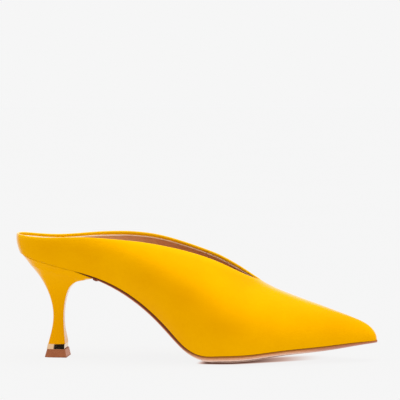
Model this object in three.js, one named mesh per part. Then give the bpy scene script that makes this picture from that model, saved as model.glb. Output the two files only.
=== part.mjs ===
// Pointed-toe heeled mule for the right foot: a hollow leather upper with a V throat and a low heel cup,
// a thin leather outsole, an insole, a leather-covered spool heel, a metal band and a flared top piece.
// Millimetres. +X runs to the toe, +Y to the inner (medial) side of the foot, +Z up. The floor is Z = 0,
// and the origin is on the floor under the middle of the shoe's box.
import * as THREE from "three";
import { mergeVertices } from "three/addons/utils/BufferGeometryUtils.js";

// Driving sizes
const LENGTH = 252; // back of the heel cup to the tip of the toe, along the floor
const BALL_WIDTH = 72.6; // across the joints at the feather edge, where the upper meets the sole
const HEEL_HEIGHT = 72.8; // floor to the feather edge at the back of the heel
const COLLAR_HEIGHT = 87; // floor to the topline at the back of the heel
const AXIS_Y = 3.0; // the heel-to-toe line lies this far to the inner side of the box's middle
const WALL = 1.6; // outer leather and lining together
const GAP = 0.3; // clearance between neighbouring pieces that curve
const WELD = 1e-3; // corners nearer than this are one

const INSOLE_THICKNESS = 2.4;
const INSOLE_CLEARANCE = 0.5;
const SOLE_END = 45; // the skived tail of the outsole stops this far from the shoe's back
const SOLE_INSET = 0.4; // the sole's edge lies this far inside the feather edge
const SOLE_TUCK = 1.3; // and its bottom edge this far
const SOLE_BEVEL = 0.8; // height of the tuck
const SOLE_BELLY = 3.5; // how far the tread's middle is fuller than its edge, at the ball
const HEEL_LIP = 58; // the heel's front lip, under the waist, from the shoe's back
const BAND_TOP = 9.2;
const BAND_BOTTOM = 5.7;

const LATERAL = -1;
const MEDIAL = 1;

// The last, a row for each section from the back of the heel to the tip of the toe.
// x, topX: share of LENGTH, from the back, of the feather edge and of the top (topline or vamp ridge).
// z, arch: feather height, and how much higher it is on the inner side, as shares of HEEL_HEIGHT.
// topZ, rise: the same for the top, as shares of COLLAR_HEIGHT.
// lat, med, topLat, topMed: half-widths from the heel-to-toe line, as shares of BALL_WIDTH.
// flare, lean: degrees from upright at which the wall leaves the feather edge outwards and meets its top.
// crest: how far the wall holds its direction at the top, in percent of the way across it.
// sole: the outsole's thickness in millimetres.
const COLUMNS = "x z arch lat med topX topZ rise topLat topMed flare lean crest sole".split(" ");
const LAST = [
  [1.1, 100.0, 0.0, 0.0, 0.0, 0.2, 100.0, 0.0, 0.0, 0.0, 21, 14, 33, 0.4], // back of the heel
  [2.2, 99.2, 0.0, 14.7, 14.7, 1.5, 99.4, -0.2, 16.2, 16.2, 20, 12, 33, 0.4],
  [5.3, 96.0, 0.0, 25.4, 25.4, 5.0, 98.4, -0.8, 28.2, 28.2, 13, 14, 30, 0.4],
  [9.9, 91.8, 0.0, 31.2, 31.2, 9.8, 97.9, -1.2, 34.4, 34.4, 12, 15, 30, 0.4], // heel seat
  [15.9, 86.4, 0.4, 33.6, 33.1, 15.9, 97.8, -0.6, 37.5, 37.5, 14, 17, 30, 0.45],
  [23.0, 80.0, 1.4, 33.3, 31.0, 23.0, 97.6, 0.8, 39.0, 39.0, 23, 29, 31, 1.15], // heel breast
  [30.2, 69.1, 3.0, 32.5, 27.5, 30.2, 96.6, 2.2, 38.8, 38.8, 35, 46, 38, 2.0],
  [36.9, 53.2, 4.1, 32.5, 25.5, 36.9, 94.8, 2.3, 36.9, 36.9, 41, 56, 44, 2.6], // waist
  [42.9, 34.2, 3.6, 35.0, 26.9, 42.9, 91.5, 2.4, 33.0, 33.0, 40, 63, 47, 2.8],
  [48.0, 16.9, 1.9, 40.6, 32.4, 48.0, 87.9, 2.2, 28.6, 28.6, 32, 66, 47, 3.0],
  [53.2, 8.2, 0.6, 47.7, 39.3, 53.2, 83.1, 2.0, 23.6, 23.6, 25, 66, 46, 3.3],
  [57.9, 8.7, 0.0, 53.2, 44.4, 57.6, 78.0, 1.8, 18.8, 18.8, 20, 61, 46, 3.6], // outer joint
  [62.3, 9.4, 0.0, 54.5, 45.5, 61.6, 72.3, 1.6, 13.8, 13.8, 20, 60, 44, 3.7], // inner joint
  [66.3, 10.2, 0.0, 52.1, 43.5, 65.0, 67.3, 1.5, 7.8, 7.8, 21, 65, 41, 3.5],
  [69.0, 11.1, 0.0, 49.4, 41.6, 67.4, 64.5, 0.0, 0.0, 0.0, 22, 86, 35, 3.3], // throat
  [73.8, 12.9, 0.0, 43.4, 37.5, 72.2, 57.0, 0.0, 0.0, 0.0, 22, 87, 35, 3.1],
  [80.2, 14.7, 0.0, 34.2, 30.3, 79.0, 49.4, 0.0, 0.0, 0.0, 17, 87, 41, 3.0],
  [86.5, 16.3, 0.0, 24.8, 22.9, 84.9, 43.4, 0.0, 0.0, 0.0, 12, 85, 42, 2.8],
  [92.1, 17.8, 0.0, 16.8, 16.1, 89.7, 38.3, 0.0, 0.0, 0.0, 6, 79, 39, 2.4],
  [96.2, 18.8, 0.0, 11.0, 11.0, 92.9, 34.9, 0.0, 0.0, 0.0, 4, 69, 36, 1.7],
  [98.9, 19.3, 0.0, 6.9, 6.9, 94.5, 33.0, 0.0, 0.0, 0.0, 5, 63, 33, 1.3],
  [100.0, 19.4, 0.0, 0.0, 0.0, 95.3, 32.0, 0.0, 0.0, 0.0, 3, 62, 33, 1.2], // tip of the toe
];
const TIP = LAST.length - 1;
const THROAT = 14; // the row where the topline's two sides meet
const COLLAR = LAST.slice(0, THROAT + 1); // the topline's own rows, which cross the axis at the throat
const ODD = ["lat", "med", "topLat", "topMed"]; // columns that change sign where a section crosses the axis
const FEATHER_PULL = 0.38; // how far the wall holds its first direction, as a share of the way across it

// One row of a table as an object; rows past an end are the mirror image of those before it.
function tableRow(table, columns, odd, index) {
  const last = table.length - 1;
  const mirrored = index < 0 || index > last;
  const within = index < 0 ? -index : index > last ? 2 * last - index : index;
  const sign = (name) => (mirrored && odd.includes(name) ? -1 : 1);
  return Object.fromEntries(columns.map((name, c) => [name, table[within][c] * sign(name)]));
}

// A smooth curve through the rows: every column at a fractional row number.
function tableAt(table, columns, odd, s) {
  const base = Math.floor(s);
  const u = s - base;
  const [a, b, c, d] = [-1, 0, 1, 2].map((step) => tableRow(table, columns, odd, base + step));
  const blend = (name) => {
    const slopeIn = (c[name] - a[name]) / 2;
    const slopeOut = (d[name] - b[name]) / 2;
    return (
      b[name] * (1 + 2 * u) * (1 - u) ** 2 +
      slopeIn * u * (1 - u) ** 2 +
      c[name] * u * u * (3 - 2 * u) +
      slopeOut * u * u * (u - 1)
    );
  };
  return Object.fromEntries(columns.map((name) => [name, blend(name)]));
}

// A section of the last at row s, in millimetres.
function sectionAt(s) {
  const share = tableAt(LAST, COLUMNS, ODD, s);
  const ridge = { ...share, rise: 0, topLat: 0, topMed: 0 }; // past the throat both sides meet on the axis
  const top = s < THROAT ? tableAt(COLLAR, COLUMNS, ODD, s) : ridge;
  return {
    x: (share.x / 100 - 0.5) * LENGTH,
    z: (share.z / 100) * HEEL_HEIGHT,
    arch: (share.arch / 100) * HEEL_HEIGHT,
    lat: (share.lat / 100) * BALL_WIDTH,
    med: (share.med / 100) * BALL_WIDTH,
    topX: (top.topX / 100 - 0.5) * LENGTH,
    topZ: (top.topZ / 100) * COLLAR_HEIGHT,
    rise: (top.rise / 100) * COLLAR_HEIGHT,
    topLat: (top.topLat / 100) * BALL_WIDTH,
    topMed: (top.topMed / 100) * BALL_WIDTH,
    flare: THREE.MathUtils.degToRad(share.flare),
    lean: THREE.MathUtils.degToRad(share.lean),
    crest: share.crest / 100,
    sole: share.sole,
  };
}

const BACK_X = -LENGTH / 2;

// The row number at which the feather edge lies a given distance from the shoe's back.
function rowAt(distance) {
  let low = 0;
  let high = TIP;
  for (let step = 0; step < 40; step++) {
    const middle = (low + high) / 2;
    if (sectionAt(middle).x - BACK_X < distance) low = middle;
    else high = middle;
  }
  return (low + high) / 2;
}

// A point on the feather edge.
function feather(side, s) {
  const row = sectionAt(s);
  const half = side === LATERAL ? row.lat : row.med;
  const height = side === LATERAL ? row.z : row.z + row.arch;
  return new THREE.Vector3(row.x, AXIS_Y + side * half, height);
}

// The outward direction of the feather edge, seen from above.
function outward(side, s) {
  const step = 0.01;
  const along = feather(side, s + step).sub(feather(side, s - step));
  return new THREE.Vector3(-side * along.y, side * along.x, 0).normalize();
}

// The feather edge moved inwards by a distance, seen from above.
function inset(side, s, distance) {
  return feather(side, s).addScaledVector(outward(side, s), -distance);
}

const UP = new THREE.Vector3(0, 0, 1);

// How steeply the vamp ridge falls to the toe at row s.
function ridgeSlope(s) {
  const behind = sectionAt(s - 0.5);
  const here = sectionAt(s);
  return (here.topZ - behind.topZ) / (here.topX - behind.topX);
}

// The wall of a section from the feather edge to its top. Past the throat it lies flat to the ridge there.
function wallCurve(side, s) {
  const row = sectionAt(s);
  const foot = feather(side, s);
  const topHalf = side === LATERAL ? row.topLat : row.topMed;
  const topHeight = side === LATERAL ? row.topZ : row.topZ + row.rise;
  const top = new THREE.Vector3(row.topX, AXIS_Y + side * topHalf, topHeight);
  const chord = foot.distanceTo(top);
  const out = outward(side, s);
  const span = new THREE.Vector3((foot.x - top.x) / chord, (foot.y - top.y) / chord, 0);
  const flat = Math.sin(row.lean) ** 2;
  const topOut = out.clone().multiplyScalar(1 - flat).addScaledVector(span, flat).normalize();
  const lower = foot.clone()
    .addScaledVector(out, FEATHER_PULL * chord * Math.sin(row.flare))
    .addScaledVector(UP, FEATHER_PULL * chord * Math.cos(row.flare));
  const arrive = s < THROAT
    ? topOut.multiplyScalar(Math.sin(row.lean)).addScaledVector(UP, -Math.cos(row.lean))
    : topOut.setZ(topOut.x * ridgeSlope(s)).normalize();
  const upper = top.clone().addScaledVector(arrive, row.crest * chord);
  return new THREE.CubicBezierCurve3(foot, lower, upper, top);
}

function outerPoint(side, s, t) {
  return wallCurve(side, s).getPoint(t);
}

// The outward normal of the upper on one side.
function sideNormal(side, s, t) {
  const step = 0.02;
  const along = outerPoint(side, s + step, t).sub(outerPoint(side, s - step, t));
  const climb = wallCurve(side, s).getTangent(t);
  return along.cross(climb).multiplyScalar(-side).normalize();
}

// The inside of the wall. On the centre lines both sides share one normal, so that they meet.
function innerPoint(side, s, t) {
  const outer = outerPoint(side, s, t);
  if (t === 1 && s >= THROAT) {
    const ridgeNormal = new THREE.Vector3(-ridgeSlope(s), 0, 1).normalize();
    return outer.addScaledVector(ridgeNormal, -WALL);
  }
  const normal = sideNormal(side, s, t);
  if (s === 0 || s === TIP) normal.add(sideNormal(-side, s, t)).normalize();
  return outer.addScaledVector(normal, -WALL);
}

// Collects quads as triangles and welds them into one closed geometry.
class Skin {
  constructor() {
    this.corners = [];
  }

  quad(a, b, c, d) {
    for (const corner of [a, b, c, a, c, d]) this.corners.push(corner.x, corner.y, corner.z);
  }

  geometry() {
    const loose = new THREE.BufferGeometry();
    loose.setAttribute("position", new THREE.Float32BufferAttribute(this.corners, 3));
    const welded = mergeVertices(loose, WELD);
    const index = welded.index.array;
    const kept = [];
    for (let i = 0; i < index.length; i += 3) {
      const [a, b, c] = [index[i], index[i + 1], index[i + 2]];
      if (a !== b && b !== c && c !== a) kept.push(a, b, c);
    }
    welded.setIndex(kept);
    welded.computeVertexNormals();
    return welded;
  }
}

// A closed six-sided block whose corners lie where place(i, j, k) says:
// i runs to the toe, j to the inner side and k up.
function block(countI, countJ, countK, place) {
  const skin = new Skin();
  const face = (countA, countB, at) => {
    for (let a = 0; a < countA; a++) {
      for (let b = 0; b < countB; b++) skin.quad(at(a, b), at(a + 1, b), at(a + 1, b + 1), at(a, b + 1));
    }
  };
  face(countI, countJ, (i, j) => place(i, j, countK));
  face(countJ, countI, (j, i) => place(i, j, 0));
  face(countI, countK, (i, k) => place(i, 0, k));
  face(countK, countI, (k, i) => place(i, countJ, k));
  face(countK, countJ, (k, j) => place(0, j, k));
  face(countJ, countK, (j, k) => place(countI, j, k));
  return skin.geometry();
}

// A point across a section between its two edges; share runs from 0 on the outer side to 1 on the inner side.
function across(s, share, distance) {
  return inset(LATERAL, s, distance).lerp(inset(MEDIAL, s, distance), share);
}

const lerp = THREE.MathUtils.lerp;

// The stations between two rows. Every piece keeps the same ones, so that neighbours' facets lie parallel.
const STEPS_PER_ROW = 2;

function stationsBetween(from, to) {
  const stations = [from];
  for (let step = Math.floor(from * STEPS_PER_ROW) + 1; step < to * STEPS_PER_ROW; step++) {
    stations.push(step / STEPS_PER_ROW);
  }
  return [...stations, to];
}

// Upper: one wall that runs round the heel, is open along the collar and closes along the vamp ridge.
const WALL_STEPS = 12;

function upperGeometry() {
  const skin = new Skin();
  const stations = stationsBetween(0, TIP);
  for (const side of [LATERAL, MEDIAL]) {
    const strip = (a, b, c, d) => (side === LATERAL ? skin.quad(a, b, c, d) : skin.quad(a, d, c, b));
    for (let i = 0; i < stations.length - 1; i++) {
      const [s0, s1] = [stations[i], stations[i + 1]];
      for (let step = 0; step < WALL_STEPS; step++) {
        const t0 = step / WALL_STEPS;
        const t1 = (step + 1) / WALL_STEPS;
        const corners = [[s0, t0], [s1, t0], [s1, t1], [s0, t1]];
        const [a, b, c, d] = corners.map(([s, t]) => outerPoint(side, s, t));
        const [e, f, g, h] = corners.map(([s, t]) => innerPoint(side, s, t));
        strip(a, b, c, d);
        strip(g, f, e, h);
        if (step === 0) strip(e, f, b, a);
        if (step === WALL_STEPS - 1 && s1 <= THROAT) strip(d, c, g, h);
      }
    }
  }
  return skin.geometry();
}

// Outsole: from its skived tail under the heel seat to the toe, flat on the floor under the ball.
const SOLE_ACROSS = 8;

// 1 along the shoe, falling to 0 over the last row, where the two edges close on the tip.
function nearTip(s) {
  return Math.min(1, TIP - s);
}

function soleTopZ(s, share) {
  return lerp(feather(LATERAL, s).z, feather(MEDIAL, s).z, share) - GAP;
}

function soleBottomZ(s, share) {
  const row = sectionAt(s);
  const fullness = 1 - (2 * share - 1) ** 2;
  const belly = SOLE_BELLY * ((row.lat + row.med) / BALL_WIDTH) ** 2;
  return Math.max(0, soleTopZ(s, share) - row.sole - belly * fullness);
}

function outsoleGeometry() {
  const stations = stationsBetween(rowAt(SOLE_END), TIP);
  return block(stations.length - 1, SOLE_ACROSS, 2, (i, j, k) => {
    const s = stations[i];
    const share = j / SOLE_ACROSS;
    const bottom = soleBottomZ(s, share);
    const top = soleTopZ(s, share);
    const bevel = Math.min(SOLE_BEVEL, (top - bottom) / 3);
    const tuck = lerp(SOLE_INSET, SOLE_TUCK, nearTip(s));
    const point = across(s, share, k === 0 ? tuck : SOLE_INSET);
    return point.setZ([bottom, bottom + bevel, top][k]);
  });
}

// Insole: a board with its sock, lying on the outsole and the heel seat inside the wall.
const INSOLE_ACROSS = 8;

function insoleGeometry() {
  const stations = stationsBetween(0, TIP);
  return block(stations.length - 1, INSOLE_ACROSS, 1, (i, j, k) => {
    const s = stations[i];
    const share = j / INSOLE_ACROSS;
    const point = across(s, share, WALL + INSOLE_CLEARANCE);
    const floor = soleTopZ(s, share) + GAP;
    return point.setZ(floor + k * INSOLE_THICKNESS);
  });
}

// Heel, a row for each ring from the metal band up to just under the seat.
// back, front: the ring's back and its breast, from the shoe's back. backZ, frontZ: their heights.
// half: half the ring's width across the breast. square: how square its back is, 2 for an ellipse.
const RING_COLUMNS = "back backZ front frontZ half square".split(" ");
const HEEL_RINGS = [
  [22.6, BAND_TOP, 35.2, BAND_TOP, 7.4, 5.0],
  [24.1, 15.5, 34.7, 15.5, 6.4, 4.0],
  [25.5, 22.0, 34.4, 22.0, 5.7, 3.4],
  [26.1, 29.0, 34.4, 29.0, 5.5, 3.0], // neck
  [25.3, 36.0, 35.1, 36.5, 6.0, 2.8],
  [23.0, 43.4, 36.7, 43.8, 7.7, 2.7],
  [19.2, 51.4, 39.6, 49.6, 11.0, 2.6],
  [14.4, 59.0, 44.8, 53.6, 15.6, 2.6],
  [9.1, 65.6, 51.4, 55.2, 20.2, 2.7],
];
const HEEL_STEPS = 3; // rings made between two rows of the table
const HEEL_ACROSS = 8;
const SEAT_INSET = 0.3; // the heel's rim lies this far inside the feather edge

// A D-shaped ring: flat at the breast, rounded at the back. along runs from the back (0) to the breast (1).
function ringPoint(ring, along, share) {
  const turn = (along * Math.PI) / 2;
  const forward = 1 - Math.cos(turn) ** (2 / ring.square);
  const width = Math.sin(turn) ** (2 / ring.square);
  return new THREE.Vector3(
    BACK_X + lerp(ring.back, ring.front, forward),
    AXIS_Y + (2 * share - 1) * width * ring.half,
    lerp(ring.backZ, ring.frontZ, forward),
  );
}

// The seat follows the upper's edge, and steps down under the end of the outsole.
function heelGeometry() {
  const behind = stationsBetween(0, rowAt(SOLE_END - 2 * GAP));
  const ahead = stationsBetween(rowAt(SOLE_END - GAP), rowAt(HEEL_LIP));
  const stations = [...behind, ...ahead];
  const count = stations.length - 1;
  const levels = (HEEL_RINGS.length - 1) * HEEL_STEPS;
  return block(count, HEEL_ACROSS, levels + 1, (i, j, k) => {
    const share = j / HEEL_ACROSS;
    if (k <= levels) {
      const ring = tableAt(HEEL_RINGS, RING_COLUMNS, [], k / HEEL_STEPS);
      return ringPoint(ring, i / count, share);
    }
    const s = stations[i];
    const under = i < behind.length ? soleTopZ(s, share) : soleBottomZ(s, share) - GAP;
    return across(s, share, SEAT_INSET).setZ(under);
  });
}

// Metal band and top piece: short prisms of the heel's lowest ring, flaring to the floor.
const FOOT_STATIONS = 10;
const FOOT_ACROSS = 6;
const BAND_RINGS = [
  [21.9, BAND_BOTTOM, 35.1, BAND_BOTTOM, 7.8, 5.0],
  [22.6, BAND_TOP, 35.2, BAND_TOP, 7.4, 5.0],
];
const TOP_PIECE_RINGS = [
  [20.1, 0, 36.2, 0, 8.8, 6.0],
  [21.6, BAND_BOTTOM, 35.1, BAND_BOTTOM, 8.0, 5.0],
];

function prismGeometry(rings) {
  return block(FOOT_STATIONS, FOOT_ACROSS, 1, (i, j, k) =>
    ringPoint(tableRow(rings, RING_COLUMNS, [], k), i / FOOT_STATIONS, j / FOOT_ACROSS),
  );
}

// Materials
const upperLeather = new THREE.MeshStandardMaterial({ color: 0xf2ae02, roughness: 0.42 });
const coverLeather = new THREE.MeshStandardMaterial({ color: 0xe9a103, roughness: 0.42 });
const soleLeather = new THREE.MeshStandardMaterial({ color: 0xa9795c, roughness: 0.6 });
const sockLeather = new THREE.MeshStandardMaterial({ color: 0xc39374, roughness: 0.65 });
const paleGold = new THREE.MeshStandardMaterial({ color: 0xd8b07a, roughness: 0.15, metalness: 1 });
const tanRubber = new THREE.MeshStandardMaterial({ color: 0x9c5c3c, roughness: 0.6 });

// Assembly
function piece(name, geometry, material) {
  const mesh = new THREE.Mesh(geometry, material);
  mesh.name = name;
  return mesh;
}

const mule = new THREE.Group();
mule.name = "heeled_mule";
mule.add(
  piece("upper", upperGeometry(), upperLeather),
  piece("outsole", outsoleGeometry(), soleLeather),
  piece("insole", insoleGeometry(), sockLeather),
  piece("heel", heelGeometry(), coverLeather),
  piece("heel_band", prismGeometry(BAND_RINGS), paleGold),
  piece("top_piece", prismGeometry(TOP_PIECE_RINGS), tanRubber),
);

export default mule;
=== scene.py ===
# %% [markdown]
# # A heeled mule, dressed for the camera
# The packed solids give every size and place in metres: the toe lies along +X, the outer side of this
# right shoe faces -Y, and the floor is z = 0. The lesson keeps that frame. Each solid is copied, the copy
# is refined into what a shoemaker would recognise, and every finish is built from shader nodes. The solids
# themselves are never touched.

from math import cos, exp, radians, sin

import bmesh
import bpy
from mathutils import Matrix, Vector
from mathutils.bvhtree import BVHTree
from mathutils.kdtree import KDTree


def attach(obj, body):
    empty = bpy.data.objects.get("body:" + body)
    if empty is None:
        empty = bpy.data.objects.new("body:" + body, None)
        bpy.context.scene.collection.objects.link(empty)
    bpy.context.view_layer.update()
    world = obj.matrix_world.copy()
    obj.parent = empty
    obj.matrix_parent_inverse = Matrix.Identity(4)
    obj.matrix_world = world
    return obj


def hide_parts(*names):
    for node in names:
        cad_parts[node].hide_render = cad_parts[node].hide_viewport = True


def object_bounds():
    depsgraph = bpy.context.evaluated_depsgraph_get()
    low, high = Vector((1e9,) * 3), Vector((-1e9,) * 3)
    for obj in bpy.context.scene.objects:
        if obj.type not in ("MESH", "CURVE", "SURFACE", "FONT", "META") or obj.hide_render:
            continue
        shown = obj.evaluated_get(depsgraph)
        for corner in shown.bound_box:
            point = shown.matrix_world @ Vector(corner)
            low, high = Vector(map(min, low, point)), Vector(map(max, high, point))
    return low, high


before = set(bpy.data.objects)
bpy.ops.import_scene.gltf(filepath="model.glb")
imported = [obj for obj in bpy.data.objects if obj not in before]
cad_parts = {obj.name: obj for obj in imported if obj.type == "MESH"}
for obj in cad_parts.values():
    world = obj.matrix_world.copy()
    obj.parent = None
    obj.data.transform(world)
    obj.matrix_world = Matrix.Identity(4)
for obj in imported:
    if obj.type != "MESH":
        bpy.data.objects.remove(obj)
cad_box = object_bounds()
scene = bpy.context.scene
MM = 0.001
print("solids:", ", ".join(sorted(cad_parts)))

# %% [markdown]
# ## The camera
# The photograph was taken from well back, a little above the sole, with the toe turned slightly to us.
# A long lens from 1.3 m flattens the view in the same way. Aiming the camera at a point with a tracking
# rotation is easier to adjust than typing angles.

# %% Camera
VIEWED_FROM = Vector((0.1390, -1.2881, 0.1780))
AIMED_AT = Vector((0.00333, 0.0030, 0.1100))
camera = bpy.data.objects.new("camera", bpy.data.cameras.new("camera"))
scene.collection.objects.link(camera)
camera.location = VIEWED_FROM
camera.rotation_euler = (AIMED_AT - VIEWED_FROM).to_track_quat("-Z", "Y").to_euler()
camera.data.sensor_width = 36.0
camera.data.lens = 168.95
camera.data.clip_end = 200.0
scene.camera = camera
print("camera stands", round((AIMED_AT - VIEWED_FROM).length, 3), "m away")

# %% [markdown]
# ## Shader maths that reads like Python
# A finish is mostly arithmetic on noise, so a long row of Math nodes would hide the idea. One small class
# wraps a socket and overloads the operators, so 1 - mask * 0.3 adds the nodes by itself. Every other node
# comes from the one method grow, which sets the node's own options first and then its sockets.

# %% The Wire class
class Wire:
    """An output socket that Python expressions can work on."""

    def __init__(self, socket):
        self.socket = socket

    @staticmethod
    def grow(tree, kind, settings=None, inputs=None, output=0):
        """Adds one node: its settings first, then the values or links of its sockets."""
        node = tree.nodes.new(kind)
        for key, value in (settings or {}).items():
            setattr(node, key, value)
        Wire.feed(node, inputs or {})
        return Wire(node.outputs[output])

    @staticmethod
    def feed(node, inputs):
        """Sets or links sockets of a node, by name or by number."""
        for key, value in inputs.items():
            if isinstance(value, Wire):
                node.id_data.links.new(value.socket, node.inputs[key])
            else:
                node.inputs[key].default_value = value

    def also(self, kind, settings=None, inputs=None, output=0):
        """Adds a node to the tree that this socket belongs to."""
        return Wire.grow(self.socket.id_data, kind, settings, inputs, output)

    def math(self, operation, first, second=0.0):
        return self.also("ShaderNodeMath", {"operation": operation}, {0: first, 1: second})

    def __add__(self, other):
        return self.math("ADD", self, other)

    def __radd__(self, other):
        return self.math("ADD", other, self)

    def __sub__(self, other):
        return self.math("SUBTRACT", self, other)

    def __rsub__(self, other):
        return self.math("SUBTRACT", other, self)

    def __mul__(self, other):
        return self.math("MULTIPLY", self, other)

    def __rmul__(self, other):
        return self.math("MULTIPLY", other, self)

    def ease(self, low, high):
        """0 below low and 1 above high, with a soft step between."""
        settings = {"interpolation_type": "SMOOTHSTEP", "clamp": True}
        return self.also("ShaderNodeMapRange", settings, {0: self, 1: low, 2: high, 3: 0.0, 4: 1.0})

    def blend(self, first, second):
        """The colour first where this value is 0, and second where it is 1."""
        settings = {"data_type": "RGBA", "clamp_factor": True}
        return self.also("ShaderNodeMix", settings, {0: self, 6: first, 7: second}, 2)

    def axis(self, letter):
        """One axis of a vector."""
        return self.also("ShaderNodeSeparateXYZ", {}, {0: self}, letter)

    def noise(self, scale, detail=2.0, roughness=0.5):
        inputs = {"Vector": self, "Scale": scale, "Detail": detail, "Roughness": roughness}
        return self.also("ShaderNodeTexNoise", {}, inputs)

    def cells(self, scale):
        """The distance to the middle of the nearest cell."""
        return self.also("ShaderNodeTexVoronoi", {"feature": "F1"}, {"Vector": self, "Scale": scale})

    def stretched(self, x, y, z):
        """The same coordinates, squeezed or stretched along the axes."""
        inputs = {"Vector": self, "Scale": (x, y, z)}
        return self.also("ShaderNodeMapping", {"vector_type": "POINT"}, inputs)

    def bump(self, distance, strength=1.0):
        """A Bump node that reads this value as a height, in metres at full height."""
        inputs = {"Strength": strength, "Distance": distance, "Height": self}
        return self.also("ShaderNodeBump", {}, inputs)


print("a Wire can:", ", ".join(name for name in vars(Wire) if not name.startswith("_")))

# %% Helpers for finishes
def srgb(red, green, blue):
    """A colour given 0 to 255, as the linear values that Blender's sockets take."""
    shares = [c / 255.0 for c in (red, green, blue)]
    return (*[c / 12.92 if c <= 0.04045 else ((c + 0.055) / 1.055) ** 2.4 for c in shares], 1.0)


def new_finish(name):
    """A fresh material, its main shader and the Object coordinates."""
    finish = bpy.data.materials.new(name)
    finish.use_nodes = True
    shader = finish.node_tree.nodes["Principled BSDF"]
    place = Wire.grow(finish.node_tree, "ShaderNodeTexCoord", {}, {}, "Object")
    return finish, shader, place


def painted(place, layer):
    """A value painted on the mesh under that name."""
    return place.also("ShaderNodeAttribute", {"attribute_name": layer}, {}, "Fac")


print("a mid grey as the sockets take it:", round(srgb(128, 128, 128)[0], 3))

# %% [markdown]
# ## Floor and studio light
# The shoe stands on a white table that is lit from below, so no shadow falls beside it: only a thin warm line
# of shade shows under the ball. A floor that is only lit would show a grey cast shadow, so this one glows by
# itself, and that line of shade is a painted shadow: its glow is darkened where the sole rests. A white dome
# stands round the shoe, stronger behind it. Polished metal shows what stands around it, so one small dark
# patch behind the camera gives the gold band its dark face. One wide sun from above models the rounded forms
# without a hard shadow.

# %% Floor
def show(bm, name, finish):
    """A smooth-shaded object at the origin from a bmesh."""
    mesh = bpy.data.meshes.new(name)
    bm.to_mesh(mesh)
    bm.free()
    mesh.polygons.foreach_set("use_smooth", [True] * len(mesh.polygons))
    mesh.materials.append(finish)
    piece = bpy.data.objects.new(name, mesh)
    scene.collection.objects.link(piece)
    return piece


FLOOR_RADIUS = 60.0
FLOOR_DEPTH = 0.1 * MM
FLOOR_GLOW = 0.872
FULL_GLOW = (1.0, 1.0, 1.0, 1.0)
HALF_SHADE = (0.67, 0.45, 0.39, 1.0)
DEEP_SHADE = (0.11, 0.045, 0.03, 1.0)


def floor_finish():
    """A pale glowing table, with a painted shadow in its glow under the ball, where the sole rests on it."""
    finish, shader, place = new_finish("studio_floor")
    tone = place.noise(3.0)
    x, y = place.axis("X"), place.axis("Y")
    across = y - x * 0.5
    near_side = across.ease(-45.0 * MM, -35.0 * MM) * y.ease(-30.0 * MM, -23.5 * MM)
    far_side = 1.0 - across.ease(-23.0 * MM, -5.0 * MM)
    along = x.ease(1.5 * MM, 12.5 * MM) * (1.0 - x.ease(24.0 * MM, 98.0 * MM))
    # painted shadow: under the ball the floor's glow is darkened to a warm shade where the sole rests
    painted_floor_shadow = near_side * far_side * along
    rim_of_shade = painted_floor_shadow.ease(0.0, 0.55).blend(FULL_GLOW, HALF_SHADE)
    Wire.feed(shader, {
        "Base Color": tone.blend((0.027, 0.027, 0.027, 1.0), (0.033, 0.033, 0.033, 1.0)),
        "Roughness": 0.8,
        "Specular IOR Level": 0.0,
        "Emission Color": painted_floor_shadow.ease(0.35, 1.0).blend(rim_of_shade, DEEP_SHADE),
        "Emission Strength": FLOOR_GLOW,
    })
    return finish


bm = bmesh.new()
bmesh.ops.create_circle(bm, cap_ends=True, radius=FLOOR_RADIUS, segments=64)
bmesh.ops.translate(bm, verts=bm.verts, vec=(0.0, 0.0, -FLOOR_DEPTH))
floor = show(bm, "floor", floor_finish())
print("floor at z =", floor.data.vertices[0].co.z)

# %% World and lights
BACKDROP = srgb(246, 246, 246)
BLACK, WHITE = (0.0, 0.0, 0.0, 1.0), (1.0, 1.0, 1.0, 1.0)
world = bpy.data.worlds.new("studio")
scene.world = world
world.use_nodes = True
ground = world.node_tree.nodes["Background"]
way = Wire.grow(world.node_tree, "ShaderNodeTexCoord", {}, {}, "Generated")
height = way.axis("Z")
# The dot product with a direction is 1 straight towards it, so easing it leaves a round patch there.
behind_camera = (height * 0.1 - way.axis("X") * 0.1 - way.axis("Y") * 0.99).ease(0.965, 0.985)
behind_shoe = way.axis("Y").ease(0.35, 0.8) * height.ease(0.05, 0.2) * (1.0 - height.ease(0.55, 0.8))
dome = (0.93 + height.ease(0.3, 0.9) * 0.12 + behind_shoe * 2.0) * (1.0 - behind_camera * 0.98)
seen = way.also("ShaderNodeLightPath", {}, {}, "Is Camera Ray")
Wire.feed(ground, {"Color": seen.blend(dome.blend(BLACK, WHITE), BACKDROP), "Strength": 1.0})


def sun(name, strength, spread, towards):
    """A sun that shines along a direction; a wide spread makes its shadow soft."""
    lamp = bpy.data.objects.new(name, bpy.data.lights.new(name, "SUN"))
    scene.collection.objects.link(lamp)
    lamp.data.energy = strength
    lamp.data.angle = radians(spread)
    lamp.rotation_euler = Vector(towards).to_track_quat("-Z", "Y").to_euler()
    return lamp


sun("overhead", strength=1.86, spread=50.0, towards=(-0.12, 0.0, -0.99))
scene.view_settings.view_transform = "Standard"

# %% [markdown]
# ## Refining a copy of a solid
# A packed solid arrives as loose triangles. Merging the doubles joins them into one skin, and joining the
# triangles gives back the quads that subdivision likes. The pole at the toe, where only two edges meet, is
# dissolved, because subdivision pinches there. Every piece below starts from such a copy, and so exactly
# where its solid lies.

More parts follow.
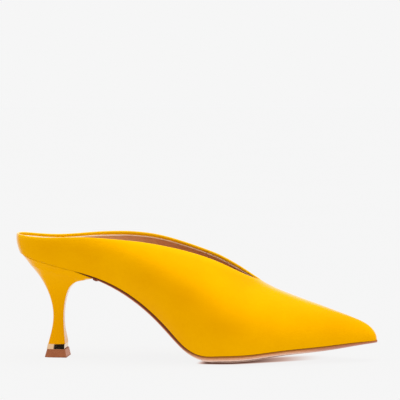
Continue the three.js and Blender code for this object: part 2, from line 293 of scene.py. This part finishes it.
# %% Clean copies
def clean_copy(node):
    """A solid's triangles as one skin, mostly of quads."""
    bm = bmesh.new()
    bm.from_mesh(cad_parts[node].data)
    bmesh.ops.remove_doubles(bm, verts=bm.verts, dist=0.01 * MM)
    bmesh.ops.join_triangles(
        bm,
        faces=bm.faces,
        angle_face_threshold=radians(50),
        angle_shape_threshold=radians(70),
        topology_influence=1.0,
    )
    poles = [v for v in bm.verts if len(v.link_edges) == 2]
    if poles:
        bmesh.ops.dissolve_verts(bm, verts=poles)
    loose = sum(len(f.verts) == 3 for f in bm.faces)
    print(f"{node}: {len(bm.faces)} faces, {loose} of them triangles, {len(poles)} poles dissolved")
    return bm


print("triangles to copy:", {name: len(o.data.polygons) for name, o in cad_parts.items()})

# %% Finding edges and skins
def sharp_edges(bm, degrees):
    """The edges that turn by more than this angle."""
    limit = radians(degrees)
    return [e for e in bm.edges if len(e.link_faces) == 2 and e.calc_face_angle() > limit]


def skins(bm, degrees=60.0):
    """The faces in groups that sharp edges part, the largest area first."""
    walls = set(sharp_edges(bm, degrees))
    left = set(bm.faces)
    groups = []
    while left:
        front = [left.pop()]
        group = []
        while front:
            face = front.pop()
            group.append(face)
            for edge in face.edges:
                if edge not in walls:
                    near = [f for f in edge.link_faces if f in left]
                    left.difference_update(near)
                    front.extend(near)
        groups.append(group)
    return sorted(groups, key=lambda g: -sum(f.calc_area() for f in g))


def between(first, second):
    """The edges where two groups of faces meet."""
    other = set(second)
    return [e for f in first for e in f.edges if any(n in other for n in e.link_faces)]


bm = clean_copy("upper")
print("the upper has", len(skins(bm)), "skins and", len(sharp_edges(bm, 60.0)), "sharp edges")
bm.free()

# %% Rounding, smoothing and tying to the frame
def round_off(bm, edges, width, segments=3):
    """Rounds edges with the bevel operator."""
    bmesh.ops.bevel(
        bm,
        geom=edges,
        offset=width,
        offset_type="OFFSET",
        affect="EDGES",
        segments=segments,
        profile=0.5,
        material=-1,
        clamp_overlap=True,
    )


def subdivide(piece, levels):
    """A live subdivision surface, the same in the view and in the render."""
    modifier = piece.modifiers.new("smooth", "SUBSURF")
    modifier.levels = levels
    modifier.render_levels = levels
    return piece


def dress(piece, slot, *nodes):
    """Ties a finished piece to the frame."""
    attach(piece, "root")
    if nodes:
        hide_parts(*nodes)
    print(f"{piece.name}: {len(piece.data.polygons)} faces before subdivision")


# %% [markdown]
# ## Yellow leather
# The upper and the heel cover are one dyed, smooth calf leather. Its pores show only close up, the hide took
# the dye a little unevenly, and a thin clear finish turns its edges pale where we look along the surface.
# Small cells and a finer noise make the pores as bump, and a slow noise moves colour and roughness. An even
# gloss would wash out the yellow everywhere, so a coat grows with the Layer Weight instead. Two layers that
# are painted on the mesh put light and shade into the colour: one is a painted highlight along the folded
# topline, and the other is painted shade in soft oval patches.

# %% Yellow leather finish
# painted highlight: the colour that the leather is lightened to along the topline
TOPLINE_HIGHLIGHT = srgb(255, 204, 12)


def yellow_leather(name, light, deep, shade_colour, sheen):
    """Dyed calf, darkened with painted shade where its shade layer is painted; sheen says at which slants the
    coat starts and is full.
    """
    finish, shader, place = new_finish(name)
    wander = place.noise(900.0, 2.0)
    pores = place.cells(1500.0)
    pebble = 1.0 - pores * 0.8 + wander * 0.35 + place.noise(5200.0, 2.0) * 0.25
    cloud = place.noise(38.0, 3.0, 0.55)
    fleck = place.noise(420.0, 2.0)
    tone = cloud.ease(0.3, 0.7) * 0.75 + fleck.ease(0.35, 0.65) * 0.25
    # painted shade: the tone is darkened towards the shade colour where the shade layer is painted
    dye_and_painted_shade = painted(place, "slack").blend(tone.blend(deep, light), shade_colour)
    gloss = 0.40 + cloud * 0.08 - fleck * 0.06 + pores * 0.05
    grazing = place.also("ShaderNodeLayerWeight", {}, {"Blend": 0.5}, "Facing")
    Wire.feed(shader, {
        # a painted highlight along the topline is laid over the dyed and shaded colour
        "Base Color": painted(place, "turned").blend(dye_and_painted_shade, TOPLINE_HIGHLIGHT),
        "Roughness": gloss,
        "Normal": pebble.bump(0.05 * MM, 0.35),
        "Specular IOR Level": 0.012,
        "Specular Tint": (1.0, 0.7, 0.0, 1.0),
        "Coat Weight": grazing.ease(*sheen),
        "Coat Roughness": 0.16,
    })
    return finish


upper_finish = yellow_leather(
    "upper_leather_finish",
    light=srgb(247, 177, 0),
    deep=srgb(242, 170, 0),
    shade_colour=srgb(218, 147, 0),
    sheen=(0.54, 0.82),
)
print("made", upper_finish.name)

# %% [markdown]
# ## The upper
# One wall of leather runs from the heel cup round to the pointed toe. Its top edge is turned in over a tape
# and its bottom edge is pulled under the last, so both edges are rolls, never cuts. They could be modelled
# loop by loop, but bevelling the sharp edges of the copy gives both at once, and subdivision then smooths the
# whole wall. Before that, the copy's lines are eased by less than a millimetre or so, as leather moves once
# the last is pulled out: both rims spring up a little, and the corner behind the ball settles on the sole.

# %% Measuring and painting the upper
def upper_skins(bm):
    """The upper's four skins: outside, inside, the rim of the topline and the strip at the feather edge."""
    outside, inside, *strips = skins(bm)
    strips.sort(key=lambda group: -sum(f.calc_center_median().z for f in group) / len(group))
    return outside, inside, strips[0], strips[1]


def distance_to(edges):
    """A function of a point: how far it is from the nearest of these edges."""
    samples = [a.co.lerp(b.co, i / 24) for a, b in [e.verts for e in edges] for i in range(25)]
    tree = KDTree(len(samples))
    for i, point in enumerate(samples):
        tree.insert(point, i)
    tree.balance()
    return lambda point: tree.find(point)[2]


def paint(bm, layer, value):
    """Keeps a number on each vertex for a finish to read."""
    store = bm.verts.layers.float.new(layer)
    for vertex in bm.verts:
        vertex[store] = value(vertex)


def soft_step(value, low, high):
    """0 below low and 1 above high, with a soft step between, for plain numbers."""
    share = min(1.0, max(0.0, (value - low) / (high - low)))
    return share * share * (3.0 - 2.0 * share)


def hump(value, start, top, slope, end):
    """0 up to start, 1 from top to slope, and 0 again from end on."""
    return soft_step(value, start, top) * (1.0 - soft_step(value, slope, end))


print("a hump from 0 to 4:", [round(hump(step, 0.0, 1.0, 3.0, 4.0), 2) for step in (0.5, 1.0, 2.0, 3.5)])

# %% Easing the upper's lines
THROAT_HOLD = 1.2
CORNER_DROP, TOE_DROP = 1.0 * MM, 0.3 * MM
ARCH_SPRING, THROAT_SPRING = 0.72 * MM, 0.5 * MM
COLLAR_SPRING, CUP_SPRING = 0.36 * MM, 0.55 * MM


def hold_throat(edges):
    """Moves the point of the V forward by what subdivision will draw it back."""
    corners = {v for e in edges for v in e.verts}
    throat = max(corners, key=lambda v: v.co.x)
    beside = [e.other_vert(throat) for e in throat.link_edges if e in edges]
    throat.co += (throat.co - sum((v.co for v in beside), Vector()) / len(beside)) * THROAT_HOLD


def toe_drop(x):
    """How far the feather line and the sole are drawn down under the toes."""
    return TOE_DROP * hump(x / MM, 66.0, 84.0, 92.0, 108.0)


def feather_drop(x):
    """How far the feather line is drawn down at the corner behind the ball and under the toes."""
    return CORNER_DROP * hump(x / MM, -18.0, -2.0, 0.0, 14.0) + toe_drop(x)


def spring_rims(edges):
    """Lets both sides of the topline stand a little prouder than on the last."""
    for vertex in {v for e in edges for v in e.verts}:
        x, y = vertex.co.x / MM, vertex.co.y / MM
        inner = ARCH_SPRING * hump(x, -100.0, -70.0, -32.0, -6.0)
        inner += THROAT_SPRING * hump(x, 4.0, 14.0, 28.0, 38.0)
        outer = COLLAR_SPRING * hump(x, -100.0, -78.0, 8.0, 34.0)
        outer += CUP_SPRING * hump(x, -100.0, -78.0, -74.0, -40.0)
        vertex.co.z += inner * soft_step(y, 0.0, 8.0) + outer * soft_step(-y, 0.0, 8.0)


print(f"the feather line drops by {feather_drop(0.0) / MM:.2f} mm behind the ball")

# %% Shaping the upper
TOPLINE_ROLL = 0.74 * MM
FEATHER_ROLL = 0.45 * MM
DRAWN_HEIGHT = 18.0 * MM
SOFT_BACK, SOFT_FRONT = -30.0 * MM, 60.0 * MM
SOFTENING = 3
bm = clean_copy("upper")
outside, inside, rim, feather = upper_skins(bm)
print("upper skins, faces in each:", [len(g) for g in (outside, inside, rim, feather)])
outer_topline = set(between(rim, outside))
inner_topline = set(between(rim, inside))
lasted = set(between(feather, outside))
hold_throat(outer_topline)
hold_throat(inner_topline)
spring_rims(outer_topline | inner_topline)
from_lasted = distance_to(lasted)
outside_points = {v for f in outside for v in f.verts}
for vertex in outside_points:
    share = 1.0 - soft_step(from_lasted(vertex.co), 0.0, DRAWN_HEIGHT)
    vertex.co.z -= feather_drop(vertex.co.x) * share
borders = {v for e in outer_topline | lasted for v in e.verts}
soft = [v for v in outside_points - borders if SOFT_BACK < v.co.x < SOFT_FRONT]
for _ in range(SOFTENING):
    bmesh.ops.smooth_vert(bm, verts=soft, factor=0.5, use_axis_x=True, use_axis_y=True, use_axis_z=True)
print("points softened over the instep and the ball:", len(soft))
from_outer = distance_to(outer_topline)
from_inner = distance_to(inner_topline)
round_off(bm, list(outer_topline | inner_topline), TOPLINE_ROLL)
round_off(bm, [e for e in lasted if e.is_valid], FEATHER_ROLL)

# %% Painting highlight and shade on the upper
TOPLINE_HIGHLIGHT_FADE = 2.6 * MM
OUTER_HIGHLIGHT_SHARE = 0.4
# painted shade: soft oval patches that darken the leather's colour; place and size in mm, tilt in degrees
PAINTED_SHADE_PATCHES = (
    dict(x=-2.0, z=48.0, length=21.0, width=10.0, tilt=-30.0, strength=0.62),
    dict(x=28.0, z=28.0, length=22.0, width=10.0, tilt=0.0, strength=0.50),
    dict(x=112.0, z=33.0, length=34.0, width=12.0, tilt=0.0, strength=0.45),
    dict(x=-92.0, z=83.0, length=34.0, width=12.0, tilt=-15.0, strength=0.40),
    dict(x=34.0, z=63.0, length=18.0, width=9.0, tilt=-30.0, strength=0.60),
    dict(x=-32.0, z=63.0, length=18.0, width=9.0, tilt=-15.0, strength=0.22),
)


def turned(vertex):
    """How much painted highlight the leather gets near the topline: full inside the shoe, less outside."""
    out, into = from_outer(vertex.co), from_inner(vertex.co)
    return max(0.0, 1.0 - min(out, into) / TOPLINE_HIGHLIGHT_FADE) * (OUTER_HIGHLIGHT_SHARE if out < into else 1.0)


def patch_shade(point, x, z, length, width, tilt, strength):
    """How much painted shade one soft oval patch lays on; its place and size are in mm, its tilt in degrees.
    """
    along = Vector((cos(radians(tilt)), sin(radians(tilt))))
    offset = Vector((point.x / MM - x, point.z / MM - z))
    far = (offset.dot(along) / length) ** 2 + (offset.cross(along) / width) ** 2
    return strength * exp(-far)


def slack(vertex):
    """How much painted shade the soft oval patches lay on the leather here."""
    return min(1.0, sum(patch_shade(vertex.co, **patch) for patch in PAINTED_SHADE_PATCHES))


# the painted highlight along the topline and the painted shade patches go into two layers
paint(bm, "turned", turned)
paint(bm, "slack", slack)
upper = subdivide(show(bm, "upper_shell", upper_finish), 2)
dress(upper, "upper_leather", "upper")

# %% [markdown]
# ## Lining
# Inside the wall lies a thin tan lining. It stops a little below the turned topline, so its cut edge shows
# as a fine pale line: the cut leather is paler, and a painted highlight lightens it further. To trim it by
# an even width, each vertex of the copied inner skin is given its distance from the topline, edges are split
# where that distance is the wanted one, and the new vertices are joined across the faces, which is a clean
# cut along a curve.

# %% Lining finish
def soft_leather(name, light, deep, cut_and_highlight, grain):
    """Matt leather for lining, sock and their edges; the painted layer cut_edge turns the edge pale, paler
    leather with a painted highlight.
    """
    finish, shader, place = new_finish(name)
    cloud = place.noise(70.0, 3.0)
    fibre = place.stretched(1.0, 1.0, 2.5).noise(grain, 3.0, 0.6)
    nap = place.noise(grain * 3.0, 2.0)
    edge = painted(place, "cut_edge")
    tone = cloud.ease(0.3, 0.7) * 0.6 + fibre.ease(0.35, 0.7) * 0.4
    Wire.feed(shader, {
        "Base Color": edge.ease(0.3, 0.7).blend(tone.blend(deep, light), cut_and_highlight),
        "Roughness": 0.62 + fibre * 0.2 - cloud * 0.08,
        "Normal": (fibre * 0.7 + nap * 0.5).bump(0.05 * MM, 0.4),
        "Specular IOR Level": 0.3,
    })
    return finish


# the lining's edge colour: paler leather with a painted highlight on it
lining_finish = soft_leather(
    "lining_finish",
    light=srgb(220, 170, 123),
    deep=srgb(206, 154, 107),
    cut_and_highlight=srgb(255, 242, 214),
    grain=900.0,
)
print("made", lining_finish.name)

# %% Lining
TURNED_EDGE = 2.1 * MM
CUT_EDGE = 0.75 * MM
LINING_THICKNESS = 0.4 * MM
LINING_LIFT = 0.05 * MM


def score(bm, value):
    """Cuts the faces along the curve where a function of a point is 0."""
    side = {v: value(v.co) for v in bm.verts}
    line = []
    for edge in [e for e in bm.edges if side[e.verts[0]] * side[e.verts[1]] < 0.0]:
        first, second = edge.verts
        share = side[first] / (side[first] - side[second])
        line.append(bmesh.utils.edge_split(edge, first, share)[1])
    bmesh.ops.connect_verts(bm, verts=line)


def keep_faces(bm, wanted):
    """Drops every face that the test refuses."""
    bmesh.ops.delete(bm, geom=[f for f in bm.faces if not wanted(f)], context="FACES")


bm = clean_copy("upper")
_, inside, rim, _ = upper_skins(bm)
topline = set(between(rim, inside))
hold_throat(topline)
spring_rims(topline)
from_topline = distance_to(topline)
inner_skin = set(inside)
keep_faces(bm, lambda f: f in inner_skin)
score(bm, lambda point: from_topline(point) - TURNED_EDGE)
keep_faces(bm, lambda f: from_topline(f.calc_center_median()) > TURNED_EDGE)
score(bm, lambda point: from_topline(point) - TURNED_EDGE - CUT_EDGE)
cut_edge = bm.faces.layers.float.new("cut_edge")
for face in bm.faces:
    face[cut_edge] = float(from_topline(face.calc_center_median()) < TURNED_EDGE + CUT_EDGE)
bm.normal_update()
for vertex in bm.verts:
    vertex.co += vertex.normal * LINING_LIFT
bmesh.ops.solidify(bm, geom=bm.faces[:], thickness=-LINING_THICKNESS)
lining = subdivide(show(bm, "lining", lining_finish), 1)
dress(lining, "sock_leather", "upper")

# %% [markdown]
# ## Sock
# A thin leather sock covers the insole board: the soft tan surface that the foot stands on. The board's own
# form is right, but it stops just short of the wall, and a real sock reaches the lining. Scaling the board
# would miss the wall's curve, so each point of its top rim is sent level outwards along a ray until it meets
# the wall, and a little into it.

# %% Sock
sock_finish = soft_leather(
    "sock_finish",
    light=srgb(205, 150, 118),
    deep=srgb(190, 132, 100),
    cut_and_highlight=srgb(190, 132, 100),
    grain=700.0,
)
SOCK_TUCK = 0.15 * MM
SOCK_ENDS = 100.0 * MM
SOCK_REACH = 8.0 * MM
SOCK_ROLL = 0.3 * MM


def inner_wall():
    """The inside of the upper, as something that rays can hit."""
    bm = clean_copy("upper")
    inside = set(upper_skins(bm)[1])
    keep_faces(bm, lambda f: f in inside)
    tree = BVHTree.FromBMesh(bm)
    bm.free()
    return tree


bm = clean_copy("insole")
wall_inside = inner_wall()
bm.normal_update()
top_rim = {v for e in sharp_edges(bm, 50.0) for v in e.verts if v.normal.z > 0.0}
moves = []
for vertex in top_rim:
    lengthways = vertex.normal.x if abs(vertex.co.x) > SOCK_ENDS else 0.0
    out = Vector((lengthways, vertex.normal.y, 0.0)).normalized()
    reach = wall_inside.ray_cast(vertex.co, out, SOCK_REACH)[3]
    if reach is not None:
        vertex.co += out * (reach + SOCK_TUCK)
        moves.append(reach + SOCK_TUCK)
print(f"sock: {len(moves)} rim points spread by {min(moves) / MM:.2f} to {max(moves) / MM:.2f} mm")
round_off(bm, sharp_edges(bm, 50.0), SOCK_ROLL, 2)
bm.faces.layers.float.new("cut_edge")
sock = subdivide(show(bm, "sock", sock_finish), 1)
dress(sock, "sock_leather", "insole")

# %% [markdown]
# ## Outsole
# The sole is one thin piece of firm leather. Its edge is stained dark brown along the waist and stays paler
# at the forefoot. Over that, painted shade darkens the top of the edge under the upper, and the bottom of the
# edge under the ball where it meets the floor, and a painted highlight from the floor makes the lower edge
# pale.
# Its tread shows fibres, scuffs and a darker border of painted shade. The edge could get a mesh of its own,
# but it is only a few millimetres high, so numbers that are painted on the vertices tell the finish how high
# up the edge, or how far in from it, a point lies. The bed is raised into the upper's feather edge, so that
# no gap shows between them. Where the heel's lip ends, a small tab of the same leather, cut from the tread's
# skin, closes the step.

# %% Sole finish
def sole_leather():
    """Leather for the sole: the layer edge parts edge and tread, and rise climbs the edge from 0 to 1."""
    finish, shader, place = new_finish("sole_leather_finish")
    edge = painted(place, "edge").ease(0.4, 0.6)
    rise = painted(place, "rise") + (place.noise(400.0) - 0.5) * 0.08
    forward = place.axis("X") + (place.noise(60.0) - 0.5) * (8.0 * MM)
    forefoot = forward.ease(-14.0 * MM, 14.0 * MM)
    tip = forward.ease(62.0 * MM, 100.0 * MM)
    under_ball = forward.ease(8.0 * MM, 20.0 * MM) * (1.0 - forward.ease(56.0 * MM, 84.0 * MM))
    fibre = place.stretched(0.5, 1.0, 1.0).noise(1400.0, 3.0, 0.6)
    cloud = place.noise(55.0, 3.0)
    scuff = place.stretched(0.25, 1.0, 1.0).noise(260.0, 4.0, 0.65).ease(0.58, 0.72)
    # up the edge: low is pale as a painted highlight from the floor, high is stain darkened by painted shade
    # under the upper
    low = tip.blend(forefoot.blend(srgb(226, 152, 112), srgb(252, 214, 194)), srgb(214, 160, 142))
    middle = tip.blend(forefoot.blend(srgb(142, 70, 38), srgb(228, 164, 122)), srgb(190, 122, 98))
    high = forefoot.blend(srgb(112, 48, 22), srgb(178, 108, 42))
    lower_edge = (rise - 0.14 + forefoot * 0.02).ease(0.12, 0.34).blend(low, middle)
    stained_and_shaded = (rise - forefoot * 0.14).ease(0.52, 0.72).blend(lower_edge, high)
    # painted shade where the bottom of the edge meets the floor under the ball
    painted_contact_shade = (1.0 - rise.ease(0.08, 0.26)) * under_ball
    with_contact_shade = painted_contact_shade.blend(stained_and_shaded, srgb(132, 92, 78))
    grained = (fibre.ease(0.3, 0.7) * 0.16).blend(with_contact_shade, srgb(70, 34, 20))
    inwards = painted(place, "inwards") + (place.noise(300.0, 3.0) - 0.5) * (1.6 * MM)
    plain = cloud.ease(0.3, 0.7).blend(srgb(186, 134, 104), srgb(206, 156, 126))
    # painted shade: a darker border along the tread's rim
    tread = inwards.ease(2.4 * MM, 4.4 * MM).blend(srgb(96, 58, 40), plain)
    worn = (scuff * 0.5).blend(tread, srgb(150, 104, 82))
    Wire.feed(shader, {
        "Base Color": edge.blend(worn, grained),
        "Roughness": 0.45 + fibre * 0.2 + scuff * 0.15,
        "Normal": (fibre * 0.6 - scuff * 0.5).bump(0.05 * MM, 0.5),
        "Specular IOR Level": 0.2,
    })
    return finish


sole_finish = sole_leather()
print("made", sole_finish.name)

# %% Shaping the sole
BED_RAISE = 0.2 * MM
SOLE_DROP = 0.85 * MM
TIP_START, FRONT = 110.0 * MM, cad_box[1][0]
TIP_REACH, TIP_RAISE = 0.8 * MM, 0.35 * MM
TAIL_NARROWING = 0.02


def sole_drop(x):
    """How far the sole's lower face is drawn down before the ball and under the toes."""
    return SOLE_DROP * hump(x / MM, -28.0, -14.0, -3.0, 8.0) + toe_drop(x)


bm = clean_copy("outsole")
under, bed, *walls = skins(bm, 25.0)
wall = [f for group in walls for f in group]
tuck = {n for e in between(wall, under) for n in e.link_faces} - set(wall)
tread = [f for f in under if f not in tuck]
bed_points = {v for f in bed for v in f.verts}
for vertex in bm.verts:
    tip = max(0.0, (vertex.co.x - TIP_START) / (FRONT - TIP_START)) ** 2
    if vertex in bed_points:
        vertex.co.z += BED_RAISE + TIP_RAISE * tip - feather_drop(vertex.co.x)
    else:
        vertex.co.z -= sole_drop(vertex.co.x)
    vertex.co.x += TIP_REACH * tip
    vertex.co.y *= 1.0 - TAIL_NARROWING * (1.0 - soft_step(vertex.co.x / MM, -77.0, -72.0))
print("outsole faces: wall", len(wall), "tuck", len(tuck), "tread", len(tread))

# %% Outsole
EDGE_ROLL = 0.2 * MM
TREAD_INSET = 0.3 * MM
TINY = 0.001 * MM
from_tread = distance_to(set(between(tuck, tread)))
from_feather = distance_to(set(between(wall, bed)))
bmesh.ops.inset_region(bm, faces=tread, thickness=TREAD_INSET, use_even_offset=True)
round_off(bm, list(set(between(wall, bed))), EDGE_ROLL, 2)
inner = {v for f in tread for v in f.verts}
paint(bm, "edge", lambda v: 0.0 if v in inner else 1.0)
paint(bm, "rise", lambda v: from_tread(v.co) / (from_tread(v.co) + from_feather(v.co) + TINY))
paint(bm, "inwards", lambda v: from_tread(v.co))
outsole = subdivide(show(bm, "outsole_leather", sole_finish), 1)
dress(outsole, "sole_leather", "outsole")

# %% Tab at the heel's lip
TAB_BACK, TAB_FRONT = -67.8 * MM, -65.5 * MM
TAB_THICKNESS, TAB_ROLL = 0.9 * MM, 0.25 * MM
TAB_RISE = 0.6
bm = clean_copy("outsole")
tread = set(skins(bm, 25.0)[0])
keep_faces(bm, lambda f: f in tread)
for cut_at, side in ((TAB_BACK, -1.0), (TAB_FRONT, 1.0)):
    bmesh.ops.bisect_plane(
        bm,
        geom=bm.verts[:] + bm.edges[:] + bm.faces[:],
        plane_co=(cut_at, 0.0, 0.0),
        plane_no=(side, 0.0, 0.0),
        clear_outer=True,
    )
bmesh.ops.solidify(bm, geom=bm.faces[:], thickness=-TAB_THICKNESS)
round_off(bm, sharp_edges(bm, 50.0), TAB_ROLL, 2)
paint(bm, "edge", lambda v: 1.0)
paint(bm, "rise", lambda v: TAB_RISE)
paint(bm, "inwards", lambda v: 0.0)
tab = show(bm, "lip_tab", sole_finish)
dress(tab, "sole_leather", "outsole")

# %% [markdown]
# ## Heel
# A moulded block is covered with the same yellow leather. Its front, the breast, is flat from side to side
# with crisp edges, so those edges are rounded only a little, and its thin lip is creased instead, because a
# bevel would eat it away. The seat is raised until only a fine seam is left under the upper. The breast turns
# a little towards the inner side, so that only a narrow pale strip of it shows, the back is drawn in where
# the cover is pulled tight, and painted shade darkens the cover towards the foot.

# %% Heel cover finish and skins
cover_finish = yellow_leather(
    "heel_leather_finish",
    light=srgb(252, 180, 0),
    deep=srgb(247, 173, 0),
    shade_colour=srgb(236, 161, 0),
    sheen=(0.50, 0.74),
)


def heel_skins(bm):
    """The heel's faces by where they look: the flat breast, the foot, the seat and the wrapped sides."""
    foot_height = min(v.co.z for v in bm.verts)
    breast, foot, seat, wrap = [], [], [], []
    for face in bm.faces:
        way = face.normal
        flat_across = abs(way.y) < 0.04
        if max(v.co.z for v in face.verts) < foot_height + 0.1 * MM:
            foot.append(face)
        elif way.z > 0.3:
            seat.append(face)
        elif flat_across and (way.x > 0.05 or way.z < -0.5):
            breast.append(face)
        else:
            wrap.append(face)
    return wrap, breast, foot, seat


bm = clean_copy("heel")
crease = bm.edges.layers.float.new("crease_edge")
wrap, breast, foot, seat = heel_skins(bm)
print("heel skins, faces in each:", [len(g) for g in (wrap, breast, foot, seat)])

# %% Shaping the heel
SEAT_RAISE = 0.38 * MM
TAIL, LIP = -81.4 * MM, -68.0 * MM
TAIL_SINK = 0.85 * MM
BREAST_TURN, BREAST_NEAR = 0.07, -6.0 * MM
BACK_SLIM, WAIST_SLIM = 0.5 * MM, 0.25 * MM
FOOT_FORWARD = 0.3 * MM
for vertex in {v for f in seat for v in f.verts}:
    before_lip = (LIP - vertex.co.x) / (LIP - TAIL)
    vertex.co.z += SEAT_RAISE + (TAIL_SINK * max(0.0, before_lip) if vertex.co.x > TAIL else 0.0)
for vertex in {v for f in breast for v in f.verts}:
    turn = BREAST_TURN * hump(vertex.co.z / MM, 9.0, 21.0, 44.0, 60.0)
    vertex.co.x -= turn * max(0.0, vertex.co.y - BREAST_NEAR)
for vertex in bm.verts:
    z = vertex.co.z / MM
    slim = BACK_SLIM * soft_step(z, 28.0, 46.0) + WAIST_SLIM * hump(z, 14.0, 30.0, 50.0, 62.0)
    at_back = 1.0 - soft_step(vertex.co.x / MM, -112.0, -92.0)
    vertex.co.x += slim * at_back + FOOT_FORWARD * (1.0 - soft_step(z, 14.0, 34.0))
print(f"heel: the back now starts at x = {min(v.co.x for v in bm.verts) / MM:.1f} mm")

# %% Heel
BREAST_ROLL, FOOT_ROLL = 0.4 * MM, 0.25 * MM
SHADE_TOP, SHADE_DEPTH = 60.0 * MM, 48.0 * MM
for edge in between(seat, breast) + between(seat, wrap):
    edge[crease] = 1.0
breast_edges = set(between(breast, wrap))
foot_edges = set(between(foot, wrap) + between(foot, breast))
round_off(bm, list(breast_edges), BREAST_ROLL, 2)
round_off(bm, [e for e in foot_edges if e.is_valid], FOOT_ROLL, 2)
# painted shade: the cover's colour darkens from 60 mm high down towards the foot
paint(bm, "slack", lambda v: min(1.0, max(0.0, (SHADE_TOP - v.co.z) / SHADE_DEPTH)))
heel = subdivide(show(bm, "heel_cover", cover_finish), 2)
dress(heel, "heel_leather", "heel")

# %% [markdown]
# ## Gold band
# A thin polished band of pale gold closes the heel above the top piece, and fine lines run round it from the
# polishing wheel. The solid's form is already right, so its edges are only rounded. Cutting the lines would
# take thousands of faces, so noise that is drawn out along the band makes them instead.

# %% Gold band
BAND_ROLL = 0.3 * MM


def pale_gold():
    """Polished metal, with faint lines from the wheel and a slight smear."""
    finish, shader, place = new_finish("pale_gold_finish")
    lines = place.stretched(0.02, 0.02, 1.0).noise(9000.0, 2.0)
    smear = place.noise(260.0, 3.0)
    Wire.feed(shader, {
        "Base Color": smear.blend(srgb(226, 184, 140), srgb(236, 200, 160)),
        "Metallic": 1.0,
        "Roughness": 0.04 + lines * 0.03 + smear * 0.03,
        "Normal": lines.bump(0.01 * MM, 0.05),
    })
    return finish


bm = clean_copy("heel_band")
round_off(bm, sharp_edges(bm, 40.0), BAND_ROLL, 2)
band = subdivide(show(bm, "gold_band", pale_gold()), 2)
dress(band, "band_metal", "heel_band")

# %% [markdown]
# ## Top piece
# The top piece is a flared block of tan rubber that meets the floor. Moulded rubber is faintly speckled, its
# lower edge is rubbed, and its front face is painted paler than its sides as painted light. The front needs
# no
# mesh of its own: the vertex normals tell which points belong to it, and a painted layer carries that to the
# finish.

# %% Top piece
TOP_PIECE_ROLL = 0.4 * MM
TOP_PIECE_FORWARD = 0.6 * MM


def tan_rubber():
    """Speckled rubber, paler on the front face as painted light, and dark along its rubbed lower edge."""
    finish, shader, place = new_finish("tan_rubber_finish")
    speck = place.noise(3200.0, 2.0)
    cloud = place.noise(220.0, 3.0)
    height = place.axis("Z")
    rubbed = (1.0 - height.ease(0.2 * MM, 1.4 * MM)) * place.noise(500.0, 3.0).ease(0.35, 0.6)
    plain = cloud.blend(srgb(148, 82, 49), srgb(167, 99, 62))
    rubber_with_front_light = painted(place, "buffed").blend(plain, srgb(204, 146, 120))
    flecked = speck.ease(0.6, 0.75).blend(rubber_with_front_light, srgb(192, 126, 92))
    Wire.feed(shader, {
        "Base Color": (rubbed * 0.5).blend(flecked, srgb(120, 66, 42)),
        "Roughness": 0.5 + speck * 0.15 + rubbed * 0.15,
        "Normal": (speck * 0.6 + cloud * 0.4).bump(0.04 * MM, 0.4),
        "Specular IOR Level": 0.18,
    })
    return finish


bm = clean_copy("top_piece")
round_off(bm, sharp_edges(bm, 40.0), TOP_PIECE_ROLL, 2)
bm.normal_update()
# painted light: the front face, found by its normals, is painted paler
paint(bm, "buffed", lambda v: soft_step(v.normal.x, 0.6, 0.85))
bmesh.ops.translate(bm, verts=bm.verts, vec=(TOP_PIECE_FORWARD, 0.0, 0.0))
top_piece = subdivide(show(bm, "top_piece_block", tan_rubber()), 2)
dress(top_piece, "top_piece_rubber", "top_piece")

# %% [markdown]
# ## The end
# The dressed shoe must keep the size of the solids.
